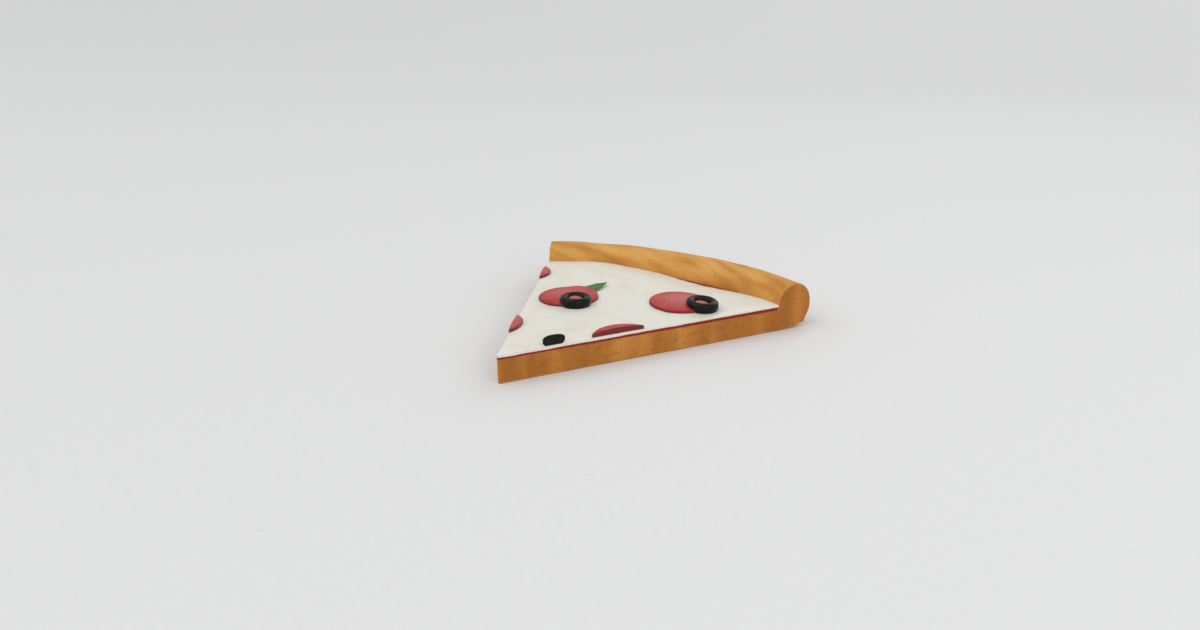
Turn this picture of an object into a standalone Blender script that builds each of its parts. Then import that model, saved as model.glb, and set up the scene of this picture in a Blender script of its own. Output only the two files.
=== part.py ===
# A slice of a thick round pizza, cut in six: a baked dough base with a rolled rim, tomato sauce,
# melted cheese, pepperoni, olive rings and a basil leaf. The knife went through all the layers
# and through the toppings in its way, so everything is flush along the two cut sides.
# Metres, +Z up, +Y from the slice's tip to its rim. The origin is under the slice's middle.

import math

import bmesh
import bpy
from mathutils import Matrix, Vector, noise

MM = 0.001

# The pizza and the cut
PIZZA_RADIUS = 180 * MM
CUT_ANGLE = math.radians(58.9)
HALF_CUT = CUT_ANGLE / 2
TIP_BLUNTNESS = 0.8 * MM  # the layers start this far from the pizza's centre
TIP_Y = -(PIZZA_RADIUS + TIP_BLUNTNESS * math.cos(HALF_CUT)) / 2  # the pizza's centre
GAP = 0.3 * MM  # between pieces that lie on each other

# The dough's base and its rolled rim, an ellipse in section
BASE_THICKNESS = 11.7 * MM
RIM_HALF_WIDTH = 11.1 * MM
RIM_HALF_HEIGHT = 12.4 * MM
RIM_RADIUS = PIZZA_RADIUS - RIM_HALF_WIDTH  # of the rim's middle line
RIM_MIDDLE_HEIGHT = 13.4 * MM
RIM_BULGE = 2.5 * MM  # the rim swells this far towards the tip
RIM_BULGE_ANGLE = math.radians(7)
RIM_BULGE_SPREAD = math.radians(12)
RIM_UNEVENNESS = 0.7 * MM
RIM_LUMP = 24 * MM  # the size of a lump in the rim
FOOT_RADIUS = 163.5 * MM  # the flat underside ends here
HEEL_RADIUS = 176.6 * MM  # the pan's corner
HEEL_HEIGHT = 2.6 * MM
SHOULDER_ANGLE = math.radians(4)  # where the underside's wall meets the rim's top, in section

# The sauce and the cheese
SAUCE_AT_TIP = 0.8 * MM
SAUCE_AT_RIM = 1.0 * MM
SAUCE_LEVEL = BASE_THICKNESS + GAP
CHEESE_TOP_AT_TIP = 14.3 * MM
CHEESE_TOP_AT_RIM = 15.0 * MM
CHEESE_DOME = 0.7 * MM  # the cheese is thicker between the cut sides
CHEESE_MOUND = 1.3 * MM  # and heaped against the rim on the left
CHEESE_MOUND_ANGLE = math.radians(-18)
CHEESE_MOUND_SPREAD = math.radians(7)
CHEESE_DIP = 1.5 * MM  # and thin beside the rim on the right, where the sauce shows
CHEESE_DIP_ANGLE = math.radians(8)
CHEESE_DIP_SPREAD = math.radians(11)
CHEESE_RIM_ZONE = 38 * MM  # the mound and the dip fade out over this much
CHEESE_UNEVENNESS = 0.25 * MM
CHEESE_LUMP = 26 * MM
CHEESE_RECESS = 2.6 * MM  # how far the cheese stops short of the rim
CHEESE_RECESS_ANGLE = math.radians(10)
CHEESE_RECESS_SPREAD = math.radians(8)
CHEESE_LIP = 2.0 * MM  # the cheese thins to its edge over this much
CHEESE_LIP_SHARE = 0.45  # of the thickness that is left at the edge, where the cheese recedes
CHEESE_LIP_SPREAD = math.radians(13)

# The toppings, each with its middle as (right of the middle line, from the tip)
PEPPERONI_DOME = 1.8 * MM  # a slice is this much thicker in its middle
PEPPERONI = {  # middle, radius, thickness at the edge
    "pepperoni_left": ((-21.4 * MM, 82.9 * MM), 16.4 * MM, 1.3 * MM),
    "pepperoni_right": ((33.8 * MM, 108.8 * MM), 16.6 * MM, 1.3 * MM),
    "pepperoni_cut_front": ((39.9 * MM, 48.4 * MM), 18.0 * MM, 1.7 * MM),
    "pepperoni_cut_tip_side": ((-29.4 * MM, 28.3 * MM), 16.4 * MM, 1.5 * MM),
    "pepperoni_cut_rim_side": ((-73.0 * MM, 107.7 * MM), 15.6 * MM, 1.5 * MM),
}
OLIVE_RADIUS = 8.5 * MM
OLIVE_HOLE_RADIUS = 4.2 * MM
OLIVE_ROUNDNESS = 2.4  # the power of the section's superellipse: 2 is an ellipse
OLIVES = {  # middle, height, and how much the top falls to the right
    "olive_ring_left": ((-11.1 * MM, 75.5 * MM), 5.1 * MM, 0),
    "olive_ring_right": ((47.6 * MM, 107.7 * MM), 5.2 * MM, 0.07),
    "olive_cut": ((19.2 * MM, 21.4 * MM), 4.8 * MM, 0),
}
OLIVE_ON_PEPPERONI = {
    "olive_ring_left": "pepperoni_left",
    "olive_ring_right": "pepperoni_right",
}

LEAF_BASE = (-20.4 * MM, 94.2 * MM)
LEAF_TIP = (-17.4 * MM, 114.6 * MM)
LEAF_HALF_WIDTH = 4.6 * MM
LEAF_THICKNESS = 0.5 * MM
LEAF_FOLD = 0.8 * MM  # the halves rise from the midrib by this much
LEAF_TIP_LIFT = 0.4 * MM
LEAF_WAVE = 0.25 * MM

# How finely the surfaces are divided
CELLS_ACROSS = 22
CELLS_TO_RIM = 22
CELLS_OVER_RIM = 16
CELLS_UP = 4
CHEESE_CELLS = 28
PEPPERONI_RINGS = (0, 0.3, 0.55, 0.75, 0.9)  # shares of the radius


def clear_scene():
    for thing in list(bpy.data.objects):
        bpy.data.objects.remove(thing)


def linear_colour(hex_colour):
    """The sRGB colour as linear RGBA."""
    values = [int(hex_colour[i : i + 2], 16) / 255 for i in (1, 3, 5)]
    return [v / 12.92 if v <= 0.04045 else ((v + 0.055) / 1.055) ** 2.4 for v in values] + [1]


def material(name, hex_colour, roughness, metallic=0.0):
    made = bpy.data.materials.new(name)
    made.use_nodes = True
    shader = made.node_tree.nodes["Principled BSDF"]
    shader.inputs["Base Color"].default_value = linear_colour(hex_colour)
    shader.inputs["Roughness"].default_value = roughness
    shader.inputs["Metallic"].default_value = metallic
    made.diffuse_color = linear_colour(hex_colour)
    return made


def new_object(name, shape, finish):
    """An object of this name from a bmesh, which is freed."""
    mesh = bpy.data.meshes.new(name)
    shape.to_mesh(mesh)
    shape.free()
    mesh.materials.append(finish)
    made = bpy.data.objects.new(name, mesh)
    bpy.context.scene.collection.objects.link(made)
    return made


def mix(a, b, share):
    return a + (b - a) * share


def smooth_step(low, high, value):
    share = min(max((value - low) / (high - low), 0), 1)
    return share * share * (3 - 2 * share)


def hump(angle, middle, spread):
    """A smooth hump of height 1 round the middle angle."""
    return math.exp(-(((angle - middle) / spread) ** 2))


def from_polar(radius, angle, height):
    """The point at this distance from the pizza's centre, its angle counted from +Y towards +X."""
    return Vector((radius * math.sin(angle), TIP_Y + radius * math.cos(angle), height))


def to_polar(x, y):
    """(distance from the pizza's centre, angle from +Y towards +X)."""
    return math.hypot(x, y - TIP_Y), math.atan2(x, y - TIP_Y)


def brick(counts, place):
    """A block of counts cells along, across and up, with each corner where place(along, across, up) puts it.
    along runs from the tip to the rim, across from the right cut side to the left one, and each from 0 to 1."""
    shape = bmesh.new()
    bmesh.ops.create_cube(shape, size=1, matrix=Matrix.Translation((0.5, 0.5, 0.5)))
    for axis, count in enumerate(counts):
        along_axis = [
            edge
            for edge in shape.edges
            if abs(edge.verts[0].co[axis] - edge.verts[1].co[axis]) > 0.5
        ]
        bmesh.ops.subdivide_edges(shape, edges=along_axis, cuts=count - 1, use_grid_fill=True)
    for corner in shape.verts:
        corner.co = place(*corner.co)
    return shape


def angle_across(across):
    return HALF_CUT * (1 - 2 * across)


# The dough


def rim_inner_radius(angle):
    """Where the rim's inner face stands on the base."""
    return RIM_RADIUS - RIM_HALF_WIDTH - RIM_BULGE * hump(angle, RIM_BULGE_ANGLE, RIM_BULGE_SPREAD)


def rim_point(turn, angle):
    """(radius, height) of the rim's section: turn is 0 at its outside and a half turn at its inside."""
    inward = max(-math.cos(turn), 0)
    bulge = (RIM_RADIUS - RIM_HALF_WIDTH - rim_inner_radius(angle)) * inward
    radius = RIM_RADIUS + RIM_HALF_WIDTH * math.cos(turn) - bulge
    height = RIM_MIDDLE_HEIGHT + RIM_HALF_HEIGHT * math.sin(turn)
    spot = from_polar(radius, angle, height) / RIM_LUMP
    # The lumps fade out towards the cheese and towards the heel, where other pieces meet the rim.
    lump = RIM_UNEVENNESS * noise.noise(spot) * smooth_step(16 * MM, 21 * MM, height)
    return radius + lump * math.cos(turn), height + lump * math.sin(turn)


def dough_upper(along, angle):
    """(radius, height) on the dough's upper side: the base under the sauce, then over the rim."""
    to_rim = CELLS_TO_RIM / (CELLS_TO_RIM + CELLS_OVER_RIM)
    crease = math.pi + math.asin((RIM_MIDDLE_HEIGHT - BASE_THICKNESS) / RIM_HALF_HEIGHT)
    if along <= to_rim:
        crease_radius = rim_point(crease, angle)[0]
        return mix(TIP_BLUNTNESS, crease_radius, along / to_rim), BASE_THICKNESS
    return rim_point(mix(crease, SHOULDER_ANGLE, (along - to_rim) / (1 - to_rim)), angle)


def dough_lower(along, angle):
    """(radius, height) on the dough's underside: flat, then rising to the heel and up its wall."""
    to_rim = CELLS_TO_RIM / (CELLS_TO_RIM + CELLS_OVER_RIM)
    to_heel = mix(to_rim, 1, 0.7)
    crease_radius = RIM_RADIUS - RIM_HALF_WIDTH
    if along <= to_rim:
        return mix(TIP_BLUNTNESS, crease_radius, along / to_rim), 0
    if along <= to_heel:
        radius = mix(crease_radius, HEEL_RADIUS, (along - to_rim) / (to_heel - to_rim))
        rise = max((radius - FOOT_RADIUS) / (HEEL_RADIUS - FOOT_RADIUS), 0)
        return radius, HEEL_HEIGHT * rise**1.2
    shoulder_radius, shoulder_height = rim_point(-SHOULDER_ANGLE, angle)
    up_wall = (along - to_heel) / (1 - to_heel)
    radius = mix(HEEL_RADIUS, shoulder_radius, math.sin(up_wall * math.pi / 2))
    return radius, mix(HEEL_HEIGHT, shoulder_height, up_wall)


def pizza_dough(finish):
    def place(along, across, up):
        angle = angle_across(across)
        low_radius, low_height = dough_lower(along, angle)
        high_radius, high_height = dough_upper(along, angle)
        return from_polar(mix(low_radius, high_radius, up), angle, mix(low_height, high_height, up))

    return new_object(
        "pizza_dough",
        brick((CELLS_TO_RIM + CELLS_OVER_RIM, CELLS_ACROSS, CELLS_UP), place),
        finish,
    )


# The sauce and the cheese


def sauce_top(radius):
    return SAUCE_LEVEL + mix(SAUCE_AT_TIP, SAUCE_AT_RIM, radius / RIM_RADIUS)


def cheese_edge_radius(angle):
    """Where the cheese ends: against the rim, or short of it where it recedes."""
    recess = CHEESE_RECESS * hump(angle, CHEESE_RECESS_ANGLE, CHEESE_RECESS_SPREAD)
    return rim_inner_radius(angle) - 1.5 * GAP - recess


def cheese_top(x, y):
    """The height of the cheese's surface, away from its thin lip."""
    radius, angle = to_polar(x, y)
    rim_radius = RIM_RADIUS - RIM_HALF_WIDTH
    at_rim = smooth_step(rim_radius - CHEESE_RIM_ZONE, rim_radius, radius)
    from_cuts = 1 - min(abs(angle) / HALF_CUT, 1) ** 2
    away_from_tip = smooth_step(10 * MM, 60 * MM, radius)
    height = mix(CHEESE_TOP_AT_TIP, CHEESE_TOP_AT_RIM, radius / rim_radius)
    height += CHEESE_DOME * from_cuts * away_from_tip * (1 - at_rim)
    height += CHEESE_MOUND * hump(angle, CHEESE_MOUND_ANGLE, CHEESE_MOUND_SPREAD) * at_rim
    height -= CHEESE_DIP * hump(angle, CHEESE_DIP_ANGLE, CHEESE_DIP_SPREAD) * at_rim
    wave = noise.noise(Vector((x, y, 0)) / CHEESE_LUMP)
    return height + CHEESE_UNEVENNESS * wave * from_cuts * away_from_tip


def tomato_sauce(finish):
    def place(along, across, up):
        angle = angle_across(across)
        radius = mix(TIP_BLUNTNESS, rim_inner_radius(angle) - GAP, along)
        return from_polar(radius, angle, mix(SAUCE_LEVEL, sauce_top(radius), up))

    return new_object("tomato_sauce", brick((10, CELLS_ACROSS, 1), place), finish)


def melted_cheese(finish):
    def place(along, across, up):
        angle = angle_across(across)
        edge = cheese_edge_radius(angle)
        radius = mix(TIP_BLUNTNESS, edge, along)
        spot = from_polar(radius, angle, 0)
        bottom = sauce_top(radius) + GAP
        thickness = cheese_top(spot.x, spot.y) - bottom
        on_lip = smooth_step(edge - CHEESE_LIP, edge, radius)
        on_lip *= hump(angle, CHEESE_RECESS_ANGLE, CHEESE_LIP_SPREAD)
        thickness *= mix(1, CHEESE_LIP_SHARE, on_lip)
        return from_polar(radius, angle, bottom + thickness * up)

    return new_object("melted_cheese", brick((CHEESE_CELLS, CELLS_ACROSS, 1), place), finish)


# The toppings


def turned(profile, middle, steps):
    """A closed body of revolution about the vertical through middle, from (radius, height) points.
    The profile runs up the outside, or right round a ring's section."""
    shape = bmesh.new()
    corners = [shape.verts.new((radius, 0, height)) for radius, height in profile]
    edges = [shape.edges.new(pair) for pair in zip(corners, corners[1:])]
    if profile[0][0] > 0:
        edges.append(shape.edges.new((corners[-1], corners[0])))
    bmesh.ops.spin(
        shape,
        geom=corners + edges,
        cent=(0, 0, 0),
        axis=(0, 0, 1),
        angle=math.tau,
        steps=steps,
        use_merge=True,
    )
    bmesh.ops.remove_doubles(shape, verts=shape.verts, dist=0.01 * MM)
    bmesh.ops.recalc_face_normals(shape, faces=shape.faces)
    bmesh.ops.translate(shape, verts=shape.verts, vec=(middle[0], middle[1] + TIP_Y, 0))
    return shape


def cut_off_outside(shape):
    """Cuts away what lies beyond either cut side of the slice, and closes the cut."""
    for side in (-1, 1):
        outwards = Vector((side * math.cos(HALF_CUT), -math.sin(HALF_CUT), 0))
        bmesh.ops.bisect_plane(
            shape,
            geom=shape.verts[:] + shape.edges[:] + shape.faces[:],
            dist=0.001 * MM,
            plane_co=(0, TIP_Y, 0),
            plane_no=outwards,
            clear_outer=True,
        )
        rims = [edge for edge in shape.edges if edge.is_boundary]
        if rims:
            bmesh.ops.holes_fill(shape, edges=rims, sides=0)


def leaf_frame():
    base, tip = Vector(LEAF_BASE), Vector(LEAF_TIP)
    along = (tip - base).normalized()
    return base, along, (tip - base).length, Vector((along.y, -along.x))


def leaf_half_width(share):
    """The leaf's half width, from its base at 0 to its pointed tip at 1."""
    return LEAF_HALF_WIDTH * (0.62 + 0.38 * math.sin(math.pi * min(share / 0.55, 1) / 2)) * (
        1 - smooth_step(0.3, 1, share) ** 1.1
    ) + 0.15 * MM


def leaf_lift(x, y):
    """How much the leaf's base lifts the slice of pepperoni that lies on it."""
    base, along, length, aside = leaf_frame()
    offset = Vector((x, y - TIP_Y)) - base
    ahead, sideways = offset.dot(along), abs(offset.dot(aside))
    beside = 1 - smooth_step(LEAF_HALF_WIDTH, 2.4 * LEAF_HALF_WIDTH, sideways)
    before = smooth_step(-9 * MM, -1.5 * MM, ahead)
    return (LEAF_THICKNESS + GAP) * beside * before


def pepperoni(name, finish, grow=0.0):
    """A thin domed slice of sausage on the cheese. grow makes it larger all round, as a cutter."""
    middle, radius, thickness = PEPPERONI[name]
    radius += grow
    corner = 0.3 * thickness
    top = thickness + grow
    rings = [share * radius for share in PEPPERONI_RINGS]
    profile = [(ring, -grow) for ring in rings] + [(radius - corner, -grow)]
    profile += [(radius, corner), (radius, top - corner)]
    profile += [(radius - corner, top)] + [(ring, top) for ring in reversed(rings)]
    shape = turned(profile, middle, 28)
    for vert in shape.verts:
        x, y = vert.co.x, vert.co.y
        out = math.hypot(x - middle[0], y - TIP_Y - middle[1]) / radius
        up = min(max(vert.co.z / thickness, 0), 1)
        vert.co.z += cheese_top(x, y) + GAP + PEPPERONI_DOME * up * (1 - out**2)
        if name == "pepperoni_left":
            vert.co.z += leaf_lift(x, y)
    if not grow:
        cut_off_outside(shape)
    return new_object(name + ("_clearance" if grow else ""), shape, finish)


def olive(name, finish):
    """A slice of pitted olive, its section a rounded rectangle."""
    middle, height, fall = OLIVES[name]
    half_width = (OLIVE_RADIUS - OLIVE_HOLE_RADIUS) / 2
    profile = []
    for step in range(12):
        turn = math.tau * step / 12
        across, up = math.cos(turn), math.sin(turn)
        across = math.copysign(abs(across) ** (2 / OLIVE_ROUNDNESS), across)
        up = math.copysign(abs(up) ** (2 / OLIVE_ROUNDNESS), up)
        profile.append((OLIVE_HOLE_RADIUS + half_width * (1 + across), height * (1 + up) / 2))
    shape = turned(profile, middle, 30)
    top = cheese_top(middle[0], middle[1] + TIP_Y) + GAP + height
    for vert in shape.verts:
        share = vert.co.z / height
        fallen_top = top - fall * (vert.co.x - middle[0])
        vert.co.z = mix(cheese_top(vert.co.x, vert.co.y) + GAP, fallen_top, share)
    cut_off_outside(shape)
    return new_object(name, shape, finish)


def rest_on_pepperoni(ring, slice_name, finish):
    """The soft ring sits over the pepperoni's edge, so the slice's form is taken out of its underside."""
    cutter = pepperoni(slice_name, finish, grow=GAP)
    cutter.hide_render = True
    cutter.display_type = "WIRE"
    cut = ring.modifiers.new("over the pepperoni", "BOOLEAN")
    cut.operation = "DIFFERENCE"
    cut.object = cutter


def basil_leaf(finish):
    """A thin wavy leaf, its two faces split alike, with its base under the pepperoni."""
    base, along, length, aside = leaf_frame()
    shape = bmesh.new()
    bmesh.ops.create_grid(shape, x_segments=14, y_segments=8, size=1)
    bmesh.ops.triangulate(shape, faces=shape.faces)
    under = shape.verts[:]
    grown = bmesh.ops.extrude_face_region(shape, geom=shape.faces[:])
    upper = {part for part in grown["geom"] if isinstance(part, bmesh.types.BMVert)}
    bmesh.ops.recalc_face_normals(shape, faces=shape.faces)
    for vert in under + list(upper):
        share = (vert.co.x + 1) / 2
        sideways = vert.co.y
        spot = base + along * (length * share) + aside * (sideways * leaf_half_width(share))
        y = spot.y + TIP_Y
        free = smooth_step(0.3, 0.7, share) * (1 - smooth_step(0.7, 1, share))
        lift = LEAF_FOLD * abs(sideways) ** 1.5 * free + LEAF_TIP_LIFT * smooth_step(0.5, 1, share)
        lift += LEAF_WAVE * (1 + math.sin(share * 14 + 2 * sideways)) * abs(sideways) * free
        height = cheese_top(spot.x, y) + GAP + lift + (LEAF_THICKNESS if vert in upper else 0)
        vert.co = (spot.x, y, height)
    bmesh.ops.recalc_face_normals(shape, faces=shape.faces)
    return new_object("basil_leaf", shape, finish)


def main():
    clear_scene()
    baked_dough = material("baked dough", "#c8924e", 0.75)
    cooked_tomato = material("cooked tomato", "#8e1f16", 0.35)
    mozzarella = material("mozzarella", "#e2dfce", 0.5)
    cured_sausage = material("cured sausage", "#b64c40", 0.45)
    black_olive = material("black olive", "#24261f", 0.3)
    basil = material("basil", "#3f8a3e", 0.5)
    pizza_dough(baked_dough)
    tomato_sauce(cooked_tomato)
    melted_cheese(mozzarella)
    for name in PEPPERONI:
        pepperoni(name, cured_sausage)
    for name in OLIVES:
        ring = olive(name, black_olive)
        if name in OLIVE_ON_PEPPERONI:
            rest_on_pepperoni(ring, OLIVE_ON_PEPPERONI[name], cured_sausage)
    basil_leaf(basil)


main()
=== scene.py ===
import math

import bmesh
import bpy
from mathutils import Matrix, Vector, noise


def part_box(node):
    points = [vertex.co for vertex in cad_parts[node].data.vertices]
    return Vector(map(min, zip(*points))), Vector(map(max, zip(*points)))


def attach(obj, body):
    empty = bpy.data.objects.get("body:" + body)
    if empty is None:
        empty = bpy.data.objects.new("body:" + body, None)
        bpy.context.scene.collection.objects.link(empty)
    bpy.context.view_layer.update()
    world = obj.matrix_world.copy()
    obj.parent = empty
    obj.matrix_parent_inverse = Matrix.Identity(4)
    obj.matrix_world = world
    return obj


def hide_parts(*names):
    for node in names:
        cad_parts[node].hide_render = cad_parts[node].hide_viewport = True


# A slice of pan pizza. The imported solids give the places, and each piece here takes one solid's place
# and keeps its form: dough, sauce, cheese, pepperoni, olives and a basil leaf.
# Metres, +Z up, +Y from the tip to the rim.

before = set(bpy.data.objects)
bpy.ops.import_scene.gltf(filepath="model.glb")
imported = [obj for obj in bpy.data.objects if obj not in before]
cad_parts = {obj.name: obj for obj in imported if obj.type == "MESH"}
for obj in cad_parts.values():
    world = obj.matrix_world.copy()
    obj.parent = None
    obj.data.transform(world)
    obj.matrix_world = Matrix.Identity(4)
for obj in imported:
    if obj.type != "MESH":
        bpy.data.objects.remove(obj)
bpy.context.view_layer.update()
mm = 0.001
tolerance = 0.01 * mm  # places that are nearer than this count as the same
smoothAngle = math.radians(50)  # sharper edges than this stay sharp

# The cut and the rim have the same driving sizes as the solids
pizza = {
    "cutAngle": math.radians(58.9),
    "tipBluntness": 0.8 * mm,
    "rimHalfWidth": 11.1 * mm,
    "rimHalfHeight": 12.4 * mm,
    "rimMiddleHeight": 13.4 * mm,
    "rimBulge": 2.5 * mm,  # the rim swells this far towards the tip
    "rimBulgeAngle": math.radians(7),
    "rimBulgeSpread": math.radians(12),
    "gap": 0.3 * mm,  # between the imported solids
}
halfCut = pizza["cutAngle"] / 2
sliceLow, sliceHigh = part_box("pizza_dough")
tipY = sliceLow.y - pizza["tipBluntness"] * math.cos(halfCut)  # the pizza's centre
outerRadius = sliceHigh.y - tipY
rimRadius = outerRadius - pizza["rimHalfWidth"]  # of the rim's middle line
rimInner = rimRadius - pizza["rimHalfWidth"]


def mix(a, b, share):
    return a + (b - a) * share


def smoothStep(low, high, value):
    share = min(max((value - low) / (high - low), 0), 1)
    return share * share * (3 - 2 * share)


def hump(angle, middle, spread):
    return math.exp(-(((angle - middle) / spread) ** 2))


def toPolar(point):
    # distance from the pizza's centre, and the angle from +Y towards +X
    return math.hypot(point.x, point.y - tipY), math.atan2(point.x, point.y - tipY)


def fromPolar(radius, angle, height):
    return Vector((radius * math.sin(angle), tipY + radius * math.cos(angle), height))


def fromCuts(point):
    # how far inside the nearer of the knife's cuts
    radius, angle = toPolar(point)
    return radius * math.sin(halfCut - abs(angle))


# Small helpers for working as by hand


def deselectAll():
    if bpy.context.mode != "OBJECT":
        bpy.ops.object.mode_set(mode="OBJECT")
    bpy.ops.object.select_all(action="DESELECT")


def activate(piece):
    deselectAll()
    piece.select_set(True)
    bpy.context.view_layer.objects.active = piece


def pickFaces(piece, test):
    # in edit mode, selects the faces that pass the test
    bpy.ops.mesh.select_mode(type="FACE")
    bpy.ops.mesh.select_all(action="DESELECT")
    for face in filter(test, bmesh.from_edit_mesh(piece.data).faces):
        face.select_set(True)
    bmesh.update_edit_mesh(piece.data)


def pickEdges(piece, test):
    bpy.ops.mesh.select_mode(type="EDGE")
    bpy.ops.mesh.select_all(action="DESELECT")
    for edge in filter(test, bmesh.from_edit_mesh(piece.data).edges):
        edge.select_set(True)
    bmesh.update_edit_mesh(piece.data)


def isLevel(edge):
    return abs(edge.verts[0].co.z - edge.verts[1].co.z) < tolerance


def moveCorners(piece, newSpot):
    for vert in piece.data.vertices:
        vert.co = newSpot(vert.co)
    piece.data.update()


def addModifier(piece, kind, **settings):
    modifier = piece.modifiers.new(kind.title(), kind)
    for name, value in settings.items():
        setattr(modifier, name, value)
    activate(piece)
    bpy.ops.object.modifier_apply(modifier=modifier.name)


def displace(piece, size, strength, midLevel=0.5):
    clouds = bpy.data.textures.new(f"{piece.name}Clouds", "CLOUDS")
    clouds.noise_scale = size
    addModifier(
        piece,
        "DISPLACE",
        texture=clouds,
        strength=strength,
        mid_level=midLevel,
        texture_coords="LOCAL",
    )


def closeUp(piece, within=2 * tolerance):
    # welds the doubles, turns the faces outwards
    activate(piece)
    bpy.ops.object.mode_set(mode="EDIT")
    bpy.ops.mesh.select_all(action="SELECT")
    bpy.ops.mesh.remove_doubles(threshold=within)
    bpy.ops.mesh.normals_make_consistent(inside=False)
    bpy.ops.object.mode_set(mode="OBJECT")


def applyTransforms(piece):
    activate(piece)
    bpy.ops.object.transform_apply(location=True, rotation=True, scale=True)


def cutAlong(piece):
    # the knife's two cuts, closed
    for side in (-1, 1):
        activate(piece)
        bpy.ops.object.mode_set(mode="EDIT")
        bpy.ops.mesh.select_all(action="SELECT")
        bpy.ops.mesh.bisect(
            plane_co=(0, tipY, 0),
            plane_no=(side * math.cos(halfCut), -math.sin(halfCut), 0),
            use_fill=True,
            clear_outer=True,
        )
        bpy.ops.object.mode_set(mode="OBJECT")


def keepFloats(piece, name, values):
    attribute = piece.data.attributes.new(name, "FLOAT", "POINT")
    attribute.data.foreach_set("value", values)


def triangleCount(piece):
    return sum(len(face.vertices) - 2 for face in piece.data.polygons)


def finishPiece(piece, name, node, surface):
    piece.name = name
    piece.data.name = name
    piece.data.materials.clear()
    piece.data.materials.append(surface)
    activate(piece)
    bpy.ops.object.shade_smooth_by_angle(angle=smoothAngle)
    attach(piece, "root")
    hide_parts(node)
    print(f"{name}: {triangleCount(piece)} triangles")


# Small helpers for materials


def linear(hexColour):
    # an sRGB hex value as linear RGBA
    values = [int(hexColour[i : i + 2], 16) / 255 for i in (1, 3, 5)]
    return [v / 12.92 if v <= 0.04045 else ((v + 0.055) / 1.055) ** 2.4 for v in values] + [1]


def addNode(tree, kind, inputs=None, output=0, stops=(), **settings):
    # adds a node, sets or links its inputs and a ramp's stops, and gives the output to use.
    # Inputs go by name, or by place where names repeat: the colours of a mix are its 6 and 7
    node = tree.nodes.new(kind)
    for name, value in settings.items():
        setattr(node, name, value)
    for name, value in (inputs or {}).items():
        if isinstance(value, bpy.types.NodeSocket):
            tree.links.new(value, node.inputs[name])
        else:
            node.inputs[name].default_value = linear(value) if isinstance(value, str) else value
    for index, (position, colour) in enumerate(stops):
        ramp = node.color_ramp.elements
        stop = ramp[index] if index < 2 else ramp.new(position)
        stop.position = position
        stop.color = linear(colour) if isinstance(colour, str) else (colour, colour, colour, 1)
    return node.outputs[output]


def newMaterial(name, values):
    # gives it, its tree, its shader with the values set, and the object's coordinates
    made = bpy.data.materials.new(name)
    made.use_nodes = True
    tree = made.node_tree
    shader = tree.nodes["Principled BSDF"]
    for socket, value in values.items():
        shader.inputs[socket].default_value = value
    return made, tree, shader, addNode(tree, "ShaderNodeTexCoord", output="Object")


print("frame loaded")


# The camera stands where the photograph's did
view = {
    "place": (0.21749, tipY - 0.23423, 0.14381),
    "direction": (-0.53481, 0.77811, -0.32944),
    "sensorWidth": 36,
    "lens": 22.815,
    "nearest": 0.01,
}


def addCamera():
    bpy.ops.object.camera_add(location=view["place"])
    camera = bpy.context.object
    camera.rotation_euler = Vector(view["direction"]).to_track_quat("-Z", "Y").to_euler()
    camera.data.sensor_fit = "HORIZONTAL"
    camera.data.sensor_width = view["sensorWidth"]
    camera.data.lens = view["lens"]
    camera.data.clip_start = view["nearest"]
    bpy.context.scene.camera = camera


# A pale studio: a floor that curves up all round, a wide soft light from above and a pale sky
studio = {
    "floorRadius": 2.5,
    "floorSides": 96,
    "curve": [(0.5, 0.04), (0.5, 0.14), (0.6, 0.32), (0.8, 0.7)],  # steps outwards and up
    "floorColours": ("#e6e7e7", "#e1e1e1"),
    "floorGrain": 3 * mm,
    "skyStrength": 0.62,
    "suns": {
        # where it shines from, strength, width
        "softTopLight": ((-0.5, -0.7, 1.1), 0.85, math.radians(50)),
        "softBackLight": ((0.0, 1.0, 0.42), 0.55, math.radians(40)),  # a sheen on what is moist
    },
    "fillPlace": (1.2, -0.6, 0.6),  # a large lamp that opens the shade on the near cut
    "fillWatts": 4,
    "fillSize": 1.0,
}


def aimAtSlice(lamp, place):
    lamp.location = place
    lamp.rotation_euler = (-Vector(place)).to_track_quat("-Z", "Y").to_euler()


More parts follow.
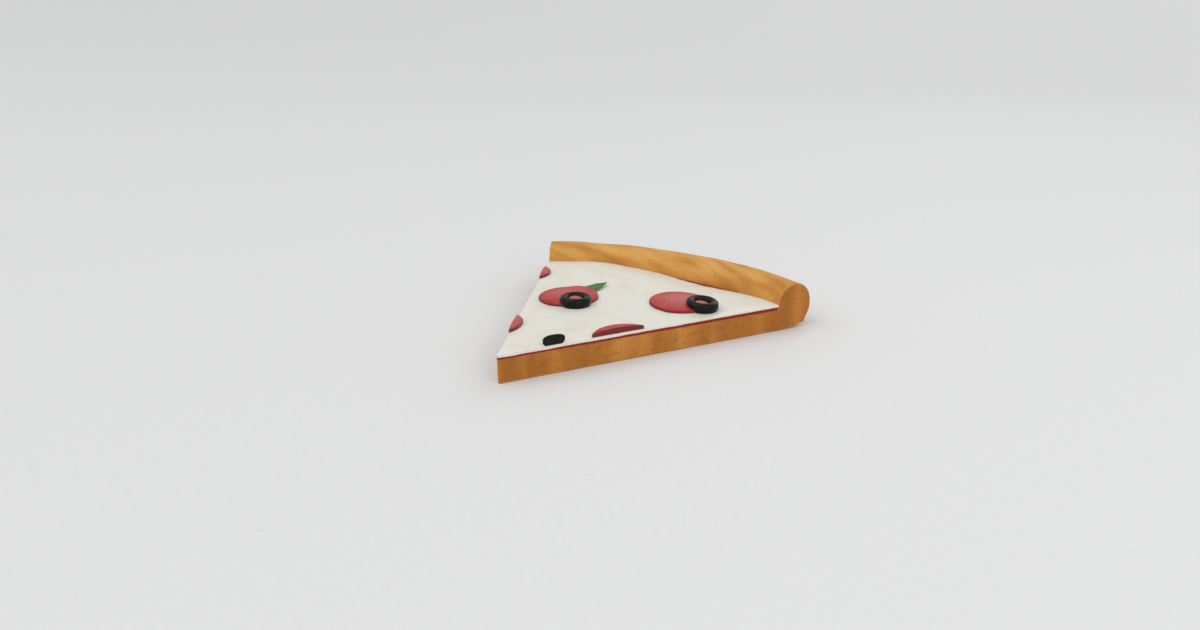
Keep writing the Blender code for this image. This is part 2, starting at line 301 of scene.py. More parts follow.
def addStudio():
    deselectAll()
    reach = studio["floorRadius"]
    bpy.ops.mesh.primitive_circle_add(vertices=studio["floorSides"], radius=reach, fill_type="NGON")
    floor = bpy.context.object
    floor.name = "floor"
    bpy.ops.object.mode_set(mode="EDIT")
    for outwards, up in studio["curve"]:
        pickEdges(floor, lambda edge: edge.is_boundary)
        bpy.ops.mesh.extrude_region_move(TRANSFORM_OT_translate={"value": (0, 0, up)})
        grown = (reach + outwards) / reach
        bpy.ops.transform.resize(value=(grown, grown, 1), center_override=(0, 0, 0))
        reach += outwards
    bpy.ops.object.mode_set(mode="OBJECT")
    bpy.ops.object.shade_smooth()
    surface, tree, shader, spot = newMaterial("matt painted board", {"Roughness": 0.8})
    grain = addNode(tree, "ShaderNodeTexNoise", {"Vector": spot, "Scale": 1 / studio["floorGrain"]})
    light, dark = studio["floorColours"]
    colour = addNode(tree, "ShaderNodeMix", {0: grain, 6: light, 7: dark}, 2, data_type="RGBA")
    tree.links.new(colour, shader.inputs["Base Color"])
    floor.data.materials.append(surface)

    for name, (place, strength, width) in studio["suns"].items():
        bpy.ops.object.light_add(type="SUN")
        sun = bpy.context.object
        sun.name = name
        aimAtSlice(sun, place)
        sun.data.energy = strength
        sun.data.angle = width
    bpy.ops.object.light_add(type="AREA")
    fill = bpy.context.object
    fill.name = "fillLamp"
    aimAtSlice(fill, studio["fillPlace"])
    fill.data.energy = studio["fillWatts"]
    fill.data.size = studio["fillSize"]
    sky = bpy.data.worlds.new("pale sky")
    bpy.context.scene.world = sky
    sky.use_nodes = True
    background = sky.node_tree.nodes["Background"]
    background.inputs["Color"].default_value = (1, 1, 1, 1)
    background.inputs["Strength"].default_value = studio["skyStrength"]
    bpy.context.scene.view_settings.view_transform = "Standard"


# The heights of the layers are the solids', but for a little more sauce at the cuts near the rim.
# Each layer here starts where the one below it ends.
sauce = {
    "level": 12.0 * mm,
    "atTip": 0.8 * mm,
    "atRim": 1.0 * mm,
    "moreAtCuts": 0.45 * mm,  # the knife pressed it out, most near the rim
    "pressedFrom": 0.7,  # share of the way from the middle line to the cut
    "sunk": 0.15 * mm,  # into the dough
    "soaked": 0.05 * mm,  # into the cheese
    "openFrom": (0.9, 0.97),  # share of its length, past which it can lie open
    "wave": 0.12 * mm,
    "waveLength": 7 * mm,
    "pulp": 0.3 * mm,  # bits that stand up where the sauce lies open
    "pulpSize": 2.2 * mm,
    "tuck": 1.2 * mm,  # it runs on under the rim
    "drawnIn": 0.1 * mm,  # behind the cut
    "drawnInUnevenly": 0.6,  # share of that
    "drawnInSize": 4 * mm,
    "seed": 9,
    "cells": (110, 96, 2),
}
cheese = {
    "topAtTip": 14.3 * mm,
    "topAtRim": 15.0 * mm,
    "dome": 0.7 * mm,
    "domeFromTip": (10 * mm, 60 * mm),
    "mound": 1.3 * mm,  # heaped against the rim on the left
    "moundAngle": math.radians(-18),
    "moundSpread": math.radians(7),
    "dip": 1.5 * mm,  # thin beside the rim on the right, where the sauce shows
    "dipAngle": math.radians(8),
    "dipSpread": math.radians(11),
    "rimZone": 38 * mm,
    "unevenness": 0.25 * mm,
    "lump": 26 * mm,
    "recess": 2.6 * mm,
    "recessAngle": math.radians(10),
    "recessSpread": math.radians(8),
    "freeFrom": 1.0 * mm,  # a recess this wide leaves the edge free of the rim
    "intoRim": 0.5 * mm,  # elsewhere it presses into the rim
    "lip": 2.0 * mm,
    "lipShare": 0.45,
    "lipSpread": math.radians(13),
    "cells": (150, 150, 4),
    "crowding": 0.55,  # of the rows of cells at the cuts
    "ripple": 0.12 * mm,  # what melting leaves on the surface
    "rippleSize": 8 * mm,
    "rippleFromCut": 6 * mm,
    "edgeWander": 0.7 * mm,  # of the edge beside the rim
    "edgeWanderSize": 6 * mm,
    "shoulder": 0.3 * mm,  # the cut rounds the top edge
    "shoulderWidth": 0.8 * mm,
    "sag": 0.16 * mm,  # the lower edge wanders where the knife dragged it
    "sagSize": 6 * mm,
    "sagApart": 5 * mm,  # keeps the two sides different
    "draped": (0.35 * mm, 0),  # how far it hangs over the sauce at the tip and at the rim
    "drapedWithin": 2 * mm,  # of the cut
    "cling": 0.35 * mm,  # it climbs the toppings' sides
    "clingWidth": 1.3 * mm,
    "underOlive": 1.0 * mm,  # the rings are rounded, so it starts this far inside their outline
}


def rimInnerAt(angle):
    return rimInner - pizza["rimBulge"] * hump(angle, pizza["rimBulgeAngle"], pizza["rimBulgeSpread"])


def sauceTop(radius, angle=0):
    pressedOut = sauce["moreAtCuts"] * smoothStep(sauce["pressedFrom"], 1, abs(angle) / halfCut)
    thickness = mix(sauce["atTip"], sauce["atRim"] + pressedOut, radius / rimRadius)
    return sauce["level"] + thickness + pizza["gap"]


def cheeseTop(point):
    radius, angle = toPolar(point)
    atRim = smoothStep(rimInner - cheese["rimZone"], rimInner, radius)
    awayFromCuts = 1 - min(abs(angle) / halfCut, 1) ** 2
    awayFromTip = smoothStep(*cheese["domeFromTip"], radius)
    height = mix(cheese["topAtTip"], cheese["topAtRim"], radius / rimInner)
    height += cheese["dome"] * awayFromCuts * awayFromTip * (1 - atRim)
    height += cheese["mound"] * hump(angle, cheese["moundAngle"], cheese["moundSpread"]) * atRim
    height -= cheese["dip"] * hump(angle, cheese["dipAngle"], cheese["dipSpread"]) * atRim
    wave = noise.noise(Vector((point.x, point.y, 0)) / cheese["lump"])
    return height + cheese["unevenness"] * wave * awayFromCuts * awayFromTip


# A section that stands over +Y is turned round the pizza's centre into a wedge


def standingPlane(nearRadius, farRadius, low, high):
    deselectAll()
    bpy.ops.mesh.primitive_plane_add(size=1, rotation=(math.pi / 2, 0, math.pi / 2))
    section = bpy.context.object
    section.location = (0, (nearRadius + farRadius) / 2, (low + high) / 2)
    section.scale = (farRadius - nearRadius, high - low, 1)
    applyTransforms(section)
    return section


def spinRound(piece, steps):
    activate(piece)
    bpy.ops.object.mode_set(mode="EDIT")
    bpy.ops.mesh.select_all(action="SELECT")
    bpy.ops.mesh.spin(steps=steps, angle=pizza["cutAngle"], center=(0, 0, 0), axis=(0, 0, 1))
    bpy.ops.object.mode_set(mode="OBJECT")
    angles = [math.atan2(vert.co.x, vert.co.y) for vert in piece.data.vertices if vert.co.y > mm]
    piece.rotation_euler.z = (min(angles) + max(angles)) / 2
    piece.location.y = tipY
    applyTransforms(piece)


# Dough: a slab from tip to heel and the rolled rim, fused and risen
dough = {
    "foot": 163.5 * mm,  # the flat underside ends here
    "heel": (176.6 * mm, 2.6 * mm),  # radius and height
    "shoulder": (179.7 * mm, 12.6 * mm),
    "spinSteps": 72,
    "rimSides": 72,
    "voxel": 0.5 * mm,
    "lump": 0.6 * mm,
    "lumpSize": 24 * mm,
    "lumpFrom": (16 * mm, 21 * mm),  # heights
    "dimple": 0.3 * mm,
    "dimpleSize": 11 * mm,
    "poreDepth": 0.45 * mm,
    "pores": [
        # size along and up, share of the depth
        (5.2 * mm, 3.4 * mm, 1.0),
        (2.6 * mm, 2.0 * mm, 0.6),
    ],
    "poreFrom": (0.2, 0.6),  # of the noise
    "poresFromTip": (2 * mm, 6 * mm),
    "seed": 31.7,
    "denseSkin": (0.6 * mm, 2.2 * mm),  # no pores in the crust, small ones behind it
    "crust": (0.5 * mm, 0.95 * mm),  # how thick its colour is at the cuts, with a soft edge
    "bareUnderSauce": 1.0 * mm,  # there the crumb has no crust
    "onCut": 0.35 * mm,  # corners this near a cut are moved with it
    "rimSkinFrom": 0.9,  # in the rim's radii
    "triangles": 185_000,
}


def rimLump(point):
    high = smoothStep(*dough["lumpFrom"], point.z)
    return dough["lump"] * noise.noise(point / dough["lumpSize"]) * high


def skinDistance(point, lump=0):
    # how far a point of the cut side lies behind the crust
    radius = toPolar(point)[0]
    across = (radius - rimRadius) / pizza["rimHalfWidth"]
    up = (point.z - pizza["rimMiddleHeight"]) / pizza["rimHalfHeight"]
    inRim = (1 - math.hypot(across, up)) * pizza["rimHalfHeight"] + lump
    heelRadius, heelHeight = dough["heel"]
    wallRadius, wallHeight = dough["shoulder"]
    rise = max((radius - dough["foot"]) / (heelRadius - dough["foot"]), 0)
    lean = (wallRadius - heelRadius) / (wallHeight - heelHeight)
    toWall = heelRadius + lean * (point.z - heelHeight) - radius
    toTop = sauce["level"] + dough["bareUnderSauce"] - point.z
    return max(inRim, min(point.z - heelHeight * rise, toTop, toWall))


def poreDepth(point, side):
    # soft pits of uneven size, wider than high
    radius = toPolar(point)[0]
    depth = 0
    for along, up, share in dough["pores"]:
        spot = Vector((radius / along, point.z / up, dough["seed"] * side))
        depth = max(depth, share * smoothStep(*dough["poreFrom"], noise.noise(spot)))
    return dough["poreDepth"] * depth * smoothStep(*dough["poresFromTip"], radius)


def makeDough():
    slab = standingPlane(pizza["tipBluntness"], dough["foot"], 0, sauce["level"])
    bpy.ops.object.mode_set(mode="EDIT")
    farthest = dough["foot"]
    for radius, height in (dough["heel"], dough["shoulder"]):
        edgeAt = farthest - tolerance
        pickEdges(slab, lambda edge: all(vert.co.y > edgeAt for vert in edge.verts))
        move = (0, radius - farthest, 0)
        bpy.ops.mesh.extrude_region_move(TRANSFORM_OT_translate={"value": move})
        farthest = radius
        picked = [vert for vert in bmesh.from_edit_mesh(slab.data).verts if vert.select]
        min(picked, key=lambda vert: vert.co.z).co.z = height
    bpy.ops.object.mode_set(mode="OBJECT")
    spinRound(slab, dough["spinSteps"])

    deselectAll()
    bpy.ops.mesh.primitive_circle_add(
        vertices=dough["rimSides"],
        radius=1,
        fill_type="NGON",
        rotation=(math.pi / 2, 0, math.pi / 2),
    )
    rim = bpy.context.object
    rim.location = (0, rimRadius, pizza["rimMiddleHeight"])
    rim.scale = (pizza["rimHalfWidth"], pizza["rimHalfHeight"], 1)
    applyTransforms(rim)
    spinRound(rim, dough["spinSteps"])

    def swell(corner):
        radius, angle = toPolar(corner)
        inwards = min(max((rimRadius - radius) / pizza["rimHalfWidth"], 0), 1)
        return fromPolar(radius - (rimInner - rimInnerAt(angle)) * inwards, angle, corner.z)

    moveCorners(rim, swell)
    closeUp(slab)
    closeUp(rim)
    deselectAll()
    rim.select_set(True)
    slab.select_set(True)
    bpy.context.view_layer.objects.active = slab
    bpy.ops.object.join()
    addModifier(slab, "REMESH", mode="VOXEL", voxel_size=dough["voxel"])
    print(f"dough fused: {triangleCount(slab)} triangles")

    def rise(corner):
        radius, angle = toPolar(corner)
        skin = skinDistance(corner)
        if fromCuts(corner) < dough["onCut"] and skin > dough["denseSkin"][0]:
            side = math.copysign(1, angle)
            depth = poreDepth(corner, side) * smoothStep(*dough["denseSkin"], skin)
            return corner + Vector((-side * math.cos(halfCut), math.sin(halfCut), 0)) * depth
        across = (radius - rimRadius) / pizza["rimHalfWidth"]
        up = (corner.z - pizza["rimMiddleHeight"]) / pizza["rimHalfHeight"]
        outwards = Vector((across, up))
        if corner.z < sauce["level"] or outwards.length < dough["rimSkinFrom"]:
            return corner
        dimple = dough["dimple"] * (noise.noise(corner / dough["dimpleSize"]) - 1) / 2
        outwards = outwards.normalized() * (rimLump(corner) + dimple)
        return corner + fromPolar(outwards.x, angle, outwards.y) - fromPolar(0, angle, 0)

    moveCorners(slab, rise)
    addModifier(slab, "DECIMATE", ratio=min(dough["triangles"] / triangleCount(slab), 1))
    crumb, pit, around, over = [], [], [], []
    for vert in slab.data.vertices:
        radius, angle = toPolar(vert.co)
        skin = skinDistance(vert.co, rimLump(vert.co))
        crumb.append(smoothStep(*dough["crust"], skin))
        # pit: how deep the pore is, for the painted shade in it
        pit.append(poreDepth(vert.co, math.copysign(1, angle)) / dough["poreDepth"] * crumb[-1])
        around.append(angle * rimRadius)
        turn = math.atan2(vert.co.z - pizza["rimMiddleHeight"], rimRadius - radius)
        if turn < -math.pi / 2:
            turn += 2 * math.pi  # so that the seam lies underneath
        over.append(turn * pizza["rimHalfHeight"])
    keepFloats(slab, "crumb", crumb)
    keepFloats(slab, "pit", pit)
    keepFloats(slab, "around", around)
    keepFloats(slab, "over", over)
    finishPiece(slab, "bakedDough", "pizza_dough", bakedDough())


# Baked wheat dough: the crust is dry and golden, with soft brown streaks that slant across the rim, and
# painted shade down its back.
# The crumb in the cuts is toasted in bands and full of small uneven pores, darkened by painted shade in
# the deeper ones.
def bakedDough():
    gloss = {"IOR": 1.45, "Specular IOR Level": 0.3}
    surface, tree, shader, spot = newMaterial("baked wheat dough", gloss)
    around = addNode(tree, "ShaderNodeAttribute", output="Fac", attribute_name="around")
    over = addNode(tree, "ShaderNodeAttribute", output="Fac", attribute_name="over")
    crumb = addNode(tree, "ShaderNodeAttribute", output="Fac", attribute_name="crumb")
    pit = addNode(tree, "ShaderNodeAttribute", output="Fac", attribute_name="pit")
    # streaks about 35 mm long and 8 mm wide, that go down towards the cheese on their way right
    # and bend where the dough was folded
    laidOut = addNode(tree, "ShaderNodeCombineXYZ", {"X": around, "Y": over})
    folded = {"Vector": laidOut, "Scale": 1 / (45 * mm), "Detail": 1}
    folds = addNode(tree, "ShaderNodeTexNoise", folded, 1)
    bent = {0: folds, 1: (20 * mm, 20 * mm, 0), 2: laidOut}
    bent = addNode(tree, "ShaderNodeVectorMath", bent, operation="MULTIPLY_ADD")
    slant = {"Vector": bent, "Rotation": (0, 0, math.radians(-18)), "Scale": (4, 1, 1)}
    slanting = addNode(tree, "ShaderNodeMapping", slant, vector_type="TEXTURE")
    wide = {"Vector": slanting, "Scale": 1 / (9 * mm), "Detail": 1, "Roughness": 0.4}
    streaks = addNode(tree, "ShaderNodeTexNoise", wide)
    tones = [(0.34, "#dda85c"), (0.48, "#d49b4d"), (0.6, "#c5873b"), (0.72, "#b97731")]
    golden = addNode(tree, "ShaderNodeValToRGB", {"Fac": streaks}, stops=tones)
    # browner low beside the cheese; darker down the back, a painted shade where the rim turns from the
    # light
    beside = {"Value": over, "From Min": 10 * mm, "From Max": -2 * mm, "To Min": 0, "To Max": 0.55}
    beside = addNode(tree, "ShaderNodeMapRange", beside)
    golden = addNode(tree, "ShaderNodeMix", {0: beside, 6: golden, 7: "#c27c33"}, 2, data_type="RGBA")
    # painted shade down the back of the rim
    paintedShadeBehind = {"Value": over, "From Min": 19 * mm, "From Max": 25 * mm, "To Min": 0, "To Max": 0.6}
    paintedShadeBehind = addNode(tree, "ShaderNodeMapRange", paintedShadeBehind)
    golden = addNode(tree, "ShaderNodeMix", {0: paintedShadeBehind, 6: golden, 7: "#b87a38"}, 2, data_type="RGBA")
    fine = {"Vector": spot, "Scale": 1 / (1.6 * mm), "Detail": 4, "Roughness": 0.6}
    freckles = addNode(tree, "ShaderNodeTexNoise", fine)
    freckles = addNode(tree, "ShaderNodeValToRGB", {"Fac": freckles}, stops=[(0.35, 0.93), (0.65, 1.03)])
    freckled = {0: 1.0, 6: golden, 7: freckles}
    crust = addNode(tree, "ShaderNodeMix", freckled, 2, data_type="RGBA", blend_type="MULTIPLY")
    # the underside lay on the hot pan
    height = addNode(tree, "ShaderNodeSeparateXYZ", {"Vector": spot}, "Z")
    low = {"Value": height, "From Min": 3 * mm, "From Max": 0.2 * mm, "To Min": 0, "To Max": 0.8}
    low = addNode(tree, "ShaderNodeMapRange", low)
    coarse = {"Vector": spot, "Scale": 1 / (11 * mm), "Detail": 5, "Roughness": 0.6}
    patches = addNode(tree, "ShaderNodeTexNoise", coarse)
    tones = [(0.35, "#b98040"), (0.65, "#96612d")]
    seared = addNode(tree, "ShaderNodeValToRGB", {"Fac": patches}, stops=tones)
    crust = addNode(tree, "ShaderNodeMix", {0: low, 6: crust, 7: seared}, 2, data_type="RGBA")
    # bands down the cut side, where the crumb is more and less toasted
    upright = addNode(tree, "ShaderNodeMapping", {"Vector": spot, "Scale": (1, 1, 0.16)})
    banded = {"Vector": upright, "Scale": 1 / (14 * mm), "Detail": 2, "Roughness": 0.45}
    bands = addNode(tree, "ShaderNodeTexNoise", banded)
    tones = [(0.34, "#aa6826"), (0.5, "#b8742d"), (0.66, "#c9873d")]
    toasted = addNode(tree, "ShaderNodeValToRGB", {"Fac": bands}, stops=tones)
    finer = {"Vector": spot, "Scale": 1 / (0.9 * mm), "Detail": 4, "Roughness": 0.65}
    crumbs = addNode(tree, "ShaderNodeTexNoise", finer)
    crumbs = addNode(tree, "ShaderNodeValToRGB", {"Fac": crumbs}, stops=[(0.3, 0.93), (0.7, 1.04)])
    mottled = {0: 1.0, 6: toasted, 7: crumbs}
    toasted = addNode(tree, "ShaderNodeMix", mottled, 2, data_type="RGBA", blend_type="MULTIPLY")
    # darker in the pores by their depth: painted shade
    paintedPoreShade = addNode(tree, "ShaderNodeMath", {0: pit, 1: 0.35}, operation="MULTIPLY")
    toasted = addNode(tree, "ShaderNodeMix", {0: paintedPoreShade, 6: toasted, 7: "#94602b"}, 2, data_type="RGBA")
    colour = addNode(tree, "ShaderNodeMix", {0: crumb, 6: crust, 7: toasted}, 2, data_type="RGBA")
    tree.links.new(colour, shader.inputs["Base Color"])
    dry = {"Value": streaks, "To Min": 0.8, "To Max": 0.62}
    tree.links.new(addNode(tree, "ShaderNodeMapRange", dry), shader.inputs["Roughness"])
    floury = {"Vector": spot, "Scale": 1 / (0.7 * mm), "Detail": 4, "Roughness": 0.65}
    grain = addNode(tree, "ShaderNodeTexNoise", floury)
    bump = {"Height": grain, "Strength": 0.25, "Distance": 0.12 * mm}
    rough = addNode(tree, "ShaderNodeBump", bump)
    # the crumb's finest pores, about 1 mm
    bubbles = addNode(tree, "ShaderNodeTexNoise", {"Vector": spot, "Scale": 1 / (1.3 * mm), "Detail": 1})
    openings = {"Value": bubbles, "From Min": 0.25, "From Max": 0.6}
    openings = addNode(tree, "ShaderNodeMapRange", openings, interpolation_type="SMOOTHSTEP")
    bump = {"Height": openings, "Strength": crumb, "Distance": 0.1 * mm, "Normal": rough}
    tree.links.new(addNode(tree, "ShaderNodeBump", bump), shader.inputs["Normal"])
    return surface


def makeLayer(section, cells, shapeIt):
    # cuts a standing section into cells, turns it into a wedge and shapes that. shapeIt gets how
    # far along, the angle and how far up
    alongCells, roundCells, upCells = cells
    corners = [vert.co.copy() for vert in section.data.vertices]
    near, far = min(co.y for co in corners), max(co.y for co in corners)
    low, high = min(co.z for co in corners), max(co.z for co in corners)
    activate(section)
    bpy.ops.object.mode_set(mode="EDIT")
    pickEdges(section, isLevel)
    bpy.ops.mesh.subdivide(number_cuts=alongCells - 1)
    pickEdges(section, lambda edge: not isLevel(edge))
    bpy.ops.mesh.subdivide(number_cuts=upCells - 1)
    bpy.ops.object.mode_set(mode="OBJECT")
    spinRound(section, roundCells)

    def shaped(corner):
        radius, angle = toPolar(corner)
        return shapeIt((radius - near) / (far - near), angle, (corner.z - low) / (high - low))

    moveCorners(section, shaped)
    closeUp(section, within=0.002 * mm)


def crowdedAtCuts(angle):
    # brings the rows of cells closer near the two cuts, where the edge is rounded
    share = angle / halfCut
    return halfCut * mix(share, math.sin(share * math.pi / 2), cheese["crowding"])


def makeSauce():
    start = pizza["tipBluntness"]
    slab = standingPlane(start, rimInner, sauce["level"], sauce["level"] + sauce["atRim"])

    def shapeIt(along, angle, up):
        radius = mix(start, rimInnerAt(angle) + sauce["tuck"], along)
        spot = fromPolar(radius, angle, 0)
        uncovered = smoothStep(*sauce["openFrom"], along)
        top = sauceTop(radius, angle) + sauce["soaked"]
        top += sauce["wave"] * noise.noise(spot / sauce["waveLength"]) * uncovered
        top += sauce["pulp"] * abs(noise.noise(spot / sauce["pulpSize"])) * uncovered
        # the sides stand back from the cut, unevenly
        size = sauce["drawnInSize"]
        bulge = noise.noise(Vector((radius / size, math.copysign(sauce["seed"], angle), 0)))
        drawnIn = sauce["drawnIn"] * (1 + sauce["drawnInUnevenly"] * bulge)
        angle *= 1 - drawnIn / (halfCut * max(radius, size))
        return fromPolar(radius, angle, mix(sauce["level"] - sauce["sunk"], top, up))

    makeLayer(slab, sauce["cells"], shapeIt)
    finishPiece(slab, "tomatoSauce", "tomato_sauce", cookedTomato())


# Tomato cooked down to a pulp: deep red and wet, with finer and coarser bits
def cookedTomato():
    gloss = {"Roughness": 0.35, "IOR": 1.36}
    surface, tree, shader, spot = newMaterial("cooked tomato pulp", gloss)
    pulpy = {"Vector": spot, "Scale": 1 / (1.8 * mm), "Detail": 4, "Roughness": 0.65}
    pulp = addNode(tree, "ShaderNodeTexNoise", pulpy)
    tones = [(0.3, "#700e08"), (0.5, "#8e160c"), (0.7, "#a52212")]
    red = addNode(tree, "ShaderNodeValToRGB", {"Fac": pulp}, stops=tones)
    tree.links.new(red, shader.inputs["Base Color"])
    bits = addNode(tree, "ShaderNodeTexNoise", {"Vector": spot, "Scale": 1 / (0.7 * mm), "Detail": 3})
    bump = {"Height": bits, "Strength": 0.45, "Distance": 0.15 * mm}
    tree.links.new(addNode(tree, "ShaderNodeBump", bump), shader.inputs["Normal"])
    return surface


# The toppings lie where the solids do. Middles are from the pizza's centre.
pepperoni = {
    # middle, radius, thickness at the edge, how much painted sheen pales all of it
    "pepperoni_left": ((-21.4 * mm, 82.9 * mm), 16.4 * mm, 1.3 * mm, 0),
    "pepperoni_right": ((33.8 * mm, 108.8 * mm), 16.6 * mm, 1.3 * mm, 0.1),
    "pepperoni_cut_front": ((39.9 * mm, 48.4 * mm), 18.0 * mm, 1.7 * mm, 0),
    "pepperoni_cut_tip_side": ((-29.4 * mm, 28.3 * mm), 16.4 * mm, 1.5 * mm, 0.4),
    "pepperoni_cut_rim_side": ((-73.0 * mm, 107.7 * mm), 15.6 * mm, 1.5 * mm, 0.4),
}
pepperoniLook = {
    "dome": 1.8 * mm,  # thicker in the middle by this much
    "sides": 96,
    "round": 0.4 * mm,
    "roundSteps": 4,
    "voxel": 0.3 * mm,
    "sunk": 0.45 * mm,  # into the cheese
    "swell": 1.3 * mm,  # inside an olive ring, which presses into it
    "swellWithin": (3.5 * mm, 5.2 * mm),
    # inside an olive ring the slice is paler: painted sheen
    "paintedSheenInHole": 0.55,
    "buckle": 0.16 * mm,
    "buckleSize": 7 * mm,
    "pit": 0.09 * mm,
    "pitSize": 1.3 * mm,
    "pitLevel": 0.7,  # more of the noise goes inwards than out
    "cutEdge": (0.1 * mm, 0.5 * mm),  # the painted shade on the cut faces fades out over this much
}
olives = {
    # middle, height, how much the top falls to the right, the slice of pepperoni that it lies on
    "olive_ring_left": ((-11.1 * mm, 75.5 * mm), 5.1 * mm, 0, "pepperoni_left"),
    "olive_ring_right": ((47.6 * mm, 107.7 * mm), 5.2 * mm, 0.07, "pepperoni_right"),
    "olive_cut": ((19.2 * mm, 21.4 * mm), 4.8 * mm, 0, None),
}
oliveLook = {
    "radius": 8.5 * mm,
    "holeRadius": 4.2 * mm,
    "sides": 72,
    "round": 2.1 * mm,
    "roundSteps": 7,
    "sunk": 0.8 * mm,  # into the cheese
    "sunkInSlice": 0.2 * mm,
    "bend": 0.5 * mm,  # it bends over the slice's edge within this much on either side
    "skin": (1.1 * mm, 0.3 * mm),  # how far inside the outline the skin starts and is full
    "voxel": 0.24 * mm,
    "wrinkle": 0.07 * mm,
    "wrinkleSize": 2.2 * mm,
}
leaf = {
    "base": (-20.4 * mm, 94.2 * mm),
    "tip": (-17.4 * mm, 114.6 * mm),
    "halfWidth": 4.6 * mm,
    "widestAt": 0.35,
    "thickness": 0.4 * mm,
    "packedThickness": 0.5 * mm,
    "liftsBefore": (-9 * mm, -1.5 * mm),  # from its base, where the slice on it rises
    "liftsBeside": 2.4,  # half widths
    "baseWidth": 0.62,  # share of the full width
    "fullWidthAt": 0.55,
    "taper": 1.2,
    "edge": 0.1 * mm,
    "free": (0.3, 0.7, 1),  # shares of the length: it curls most at the second
    "fold": 0.3 * mm,  # the edges rise by this much, steepest there
    "foldPower": 1.5,
    "tipLift": 0.4 * mm,
    "tipLiftFrom": 0.5,
    "wave": 0.1 * mm,
    "waves": (14, 2),  # radians along and across
    "cells": (64, 32),
    "veins": 6,
    "veinSlant": 0.3,
    "veinDepth": 0.12 * mm,
    "midribWidth": 0.25,  # share of the width
}


def inSlice(middle):
    return Vector((middle[0], middle[1] + tipY, 0))


def flatDistance(point, middle):
    return (Vector((point.x, point.y, 0)) - inSlice(middle)).length


def camelCase(name):
    first, *others = name.split("_")
    return first + "".join(word.title() for word in others)


def leafAxes():
    # its base, the way from there to its tip, and the direction to its side
    base = inSlice(leaf["base"])
    reach = inSlice(leaf["tip"]) - base
    return base, reach, Vector((reach.y, -reach.x, 0)).normalized()


def leafLift(point):
    # the leaf's base lifts the slice of pepperoni that lies on it
    base, reach, aside = leafAxes()
    offset = Vector((point.x, point.y, 0)) - base
    halfWidth = leaf["halfWidth"]
    beside = 1 - smoothStep(halfWidth, leaf["liftsBeside"] * halfWidth, abs(offset.dot(aside)))
    before = smoothStep(*leaf["liftsBefore"], offset.dot(reach.normalized()))
    return (leaf["packedThickness"] + pizza["gap"]) * beside * before


def pepperoniHeight(name, point, up):
    # up is the height over the slice's underside
    middle, radius, thickness = pepperoni[name][:3]
    out = flatDistance(point, middle) / radius
    height = cheeseTop(point) + pizza["gap"] + up
    height += pepperoniLook["dome"] * min(max(up / thickness, 0), 1) * (1 - out**2)
    return height + (leafLift(point) if name == "pepperoni_left" else 0)


def makePepperoni(name, surface):
    middle, radius, thickness, pale = pepperoni[name]
    deselectAll()
    bpy.ops.mesh.primitive_cylinder_add(
        vertices=pepperoniLook["sides"],
        radius=radius,
        depth=thickness,
        location=inSlice(middle) + Vector((0, 0, thickness / 2)),
    )
    disc = bpy.context.object
    disc.name = name
    bpy.ops.object.mode_set(mode="EDIT")
    pickEdges(disc, isLevel)
    bpy.ops.mesh.bevel(offset=pepperoniLook["round"], segments=pepperoniLook["roundSteps"])
    bpy.ops.object.mode_set(mode="OBJECT")
    applyTransforms(disc)
    cutAlong(disc)
    addModifier(disc, "REMESH", mode="VOXEL", voxel_size=pepperoniLook["voxel"])
    holes = [values[0] for values in olives.values() if values[3] == name]

    def inHole(point):
        within = [smoothStep(*pepperoniLook["swellWithin"], flatDistance(point, hole)) for hole in holes]
        return 1 - min(within, default=1)

    def lay(corner):
        share = min(max(corner.z / thickness, 0), 1)
        height = pepperoniHeight(name, corner, mix(-pepperoniLook["sunk"], thickness, share))
        return Vector((corner.x, corner.y, height + pepperoniLook["swell"] * inHole(corner) * share))

    moveCorners(disc, lay)
    displace(disc, pepperoniLook["buckleSize"], pepperoniLook["buckle"])
    displace(disc, pepperoniLook["pitSize"], pepperoniLook["pit"], pepperoniLook["pitLevel"])
    spots = [vert.co for vert in disc.data.vertices]
    keepFloats(disc, "outwards", [flatDistance(spot, middle) / radius for spot in spots])
    # the knife's cut faces get painted shade
    atCut = [1 - smoothStep(*pepperoniLook["cutEdge"], fromCuts(spot)) for spot in spots]
    keepFloats(disc, "cut", atCut)
    # pale: how much painted sheen pales each point
    keepFloats(disc, "pale", [pale + pepperoniLook["paintedSheenInHole"] * inHole(spot) for spot in spots])
    finishPiece(disc, camelCase(name), name, surface)
